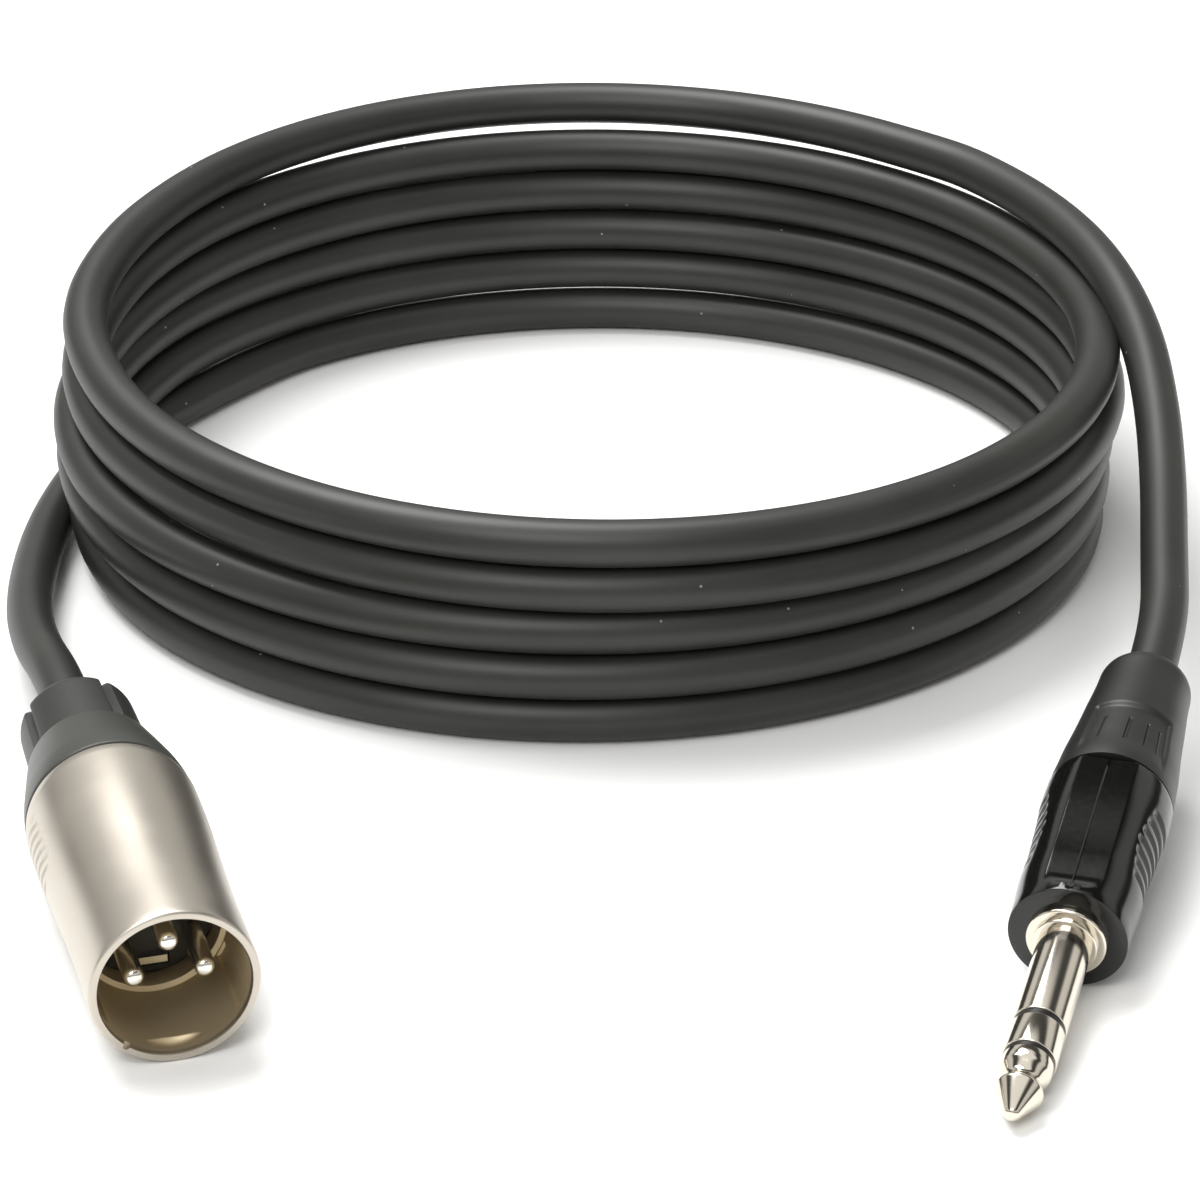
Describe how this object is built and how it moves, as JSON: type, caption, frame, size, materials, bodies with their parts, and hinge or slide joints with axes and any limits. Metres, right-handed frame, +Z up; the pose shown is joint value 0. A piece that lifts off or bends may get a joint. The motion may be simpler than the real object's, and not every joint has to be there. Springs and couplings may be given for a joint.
{
  "type": "microphone cable",
  "caption": "Coiled balanced microphone cable with a male three-pin connector on one end and a 6.35 mm stereo jack plug on the other.",
  "frame": {"origin": "centre of the footprint of the whole coiled cable, on the surface it lies on", "axes": "+Z up, +Y from the two connectors towards the back of the coil, +X towards the jack plug side"},
  "size_m": [0.1567, 0.2307, 0.0366],
  "materials": {
    "cable_jacket": "matte",
    "nickel_satin": "satin",
    "carrier_plastic": "matte",
    "contact_metal": "polished",
    "chuck_plastic": "natural",
    "gland_plastic": "satin",
    "boot_rubber": "matte",
    "core_red": "smooth",
    "core_white": "smooth",
    "shield_copper": "twisted wire",
    "housing_gloss": "gloss",
    "boot_plastic": "fine matte",
    "nickel_bright": "polished",
    "insulator_black": "smooth"
  },
  "bodies": {
    "root": {"cable_coil": "cable_jacket", "cable_tail_xlr": "cable_jacket", "cable_tail_jack": "cable_jacket", "xlr_shell": "nickel_satin", "xlr_insert": "carrier_plastic", "xlr_pin_1": "contact_metal", "xlr_pin_2": "contact_metal", "xlr_pin_3": "contact_metal", "xlr_ground_tab": "contact_metal", "xlr_cable_end": "cable_jacket", "xlr_core_hot": "core_red", "xlr_core_cold": "core_white", "xlr_shield_wire": "shield_copper", "jack_housing": "housing_gloss", "jack_collar": "nickel_bright", "jack_sleeve": "nickel_bright", "jack_rear_insulator": "insulator_black", "jack_ring": "nickel_bright", "jack_front_insulator": "insulator_black", "jack_tip": "nickel_bright", "jack_ground_lug": "nickel_bright", "jack_cable_end": "cable_jacket", "jack_core_tip": "core_red", "jack_core_ring": "core_white", "jack_shield_wire": "shield_copper"},
    "xlr_clamp": {"xlr_chuck": "chuck_plastic"},
    "xlr_gland": {"xlr_gland_collar": "gland_plastic", "xlr_boot": "boot_rubber"},
    "jack_clamp": {"jack_chuck": "chuck_plastic"},
    "jack_gland": {"jack_boot": "boot_plastic"}
  },
  "joints": [
    {"name": "xlr_clamp_slide", "type": "slide", "parent": "root", "child": "xlr_clamp", "axis": [-0.2773, 0.9606, 0.0191], "range_m": [0, 0.0046]},
    {"name": "xlr_gland_turn", "type": "hinge", "parent": "xlr_clamp", "child": "xlr_gland", "pos_m": [-0.05996, -0.05267, 0.01071], "axis": [-0.2773, 0.9606, 0.0191], "range_deg": [0, 1080]},
    {"name": "jack_clamp_slide", "type": "slide", "parent": "root", "child": "jack_clamp", "axis": [0.276, 0.9499, 0.1468], "range_m": [0, 0.0041]},
    {"name": "jack_gland_turn", "type": "hinge", "parent": "jack_clamp", "child": "jack_gland", "pos_m": [0.06433, -0.0511, 0.01212], "axis": [0.276, 0.9499, 0.1468], "range_deg": [0, 1440]}
  ],
  "couplings": [
    {"joint": "xlr_clamp_slide", "follows": "xlr_gland_turn", "m_per_rad": 0.00023873},
    {"joint": "jack_clamp_slide", "follows": "jack_gland_turn", "m_per_rad": 0.00015915}
  ]
}
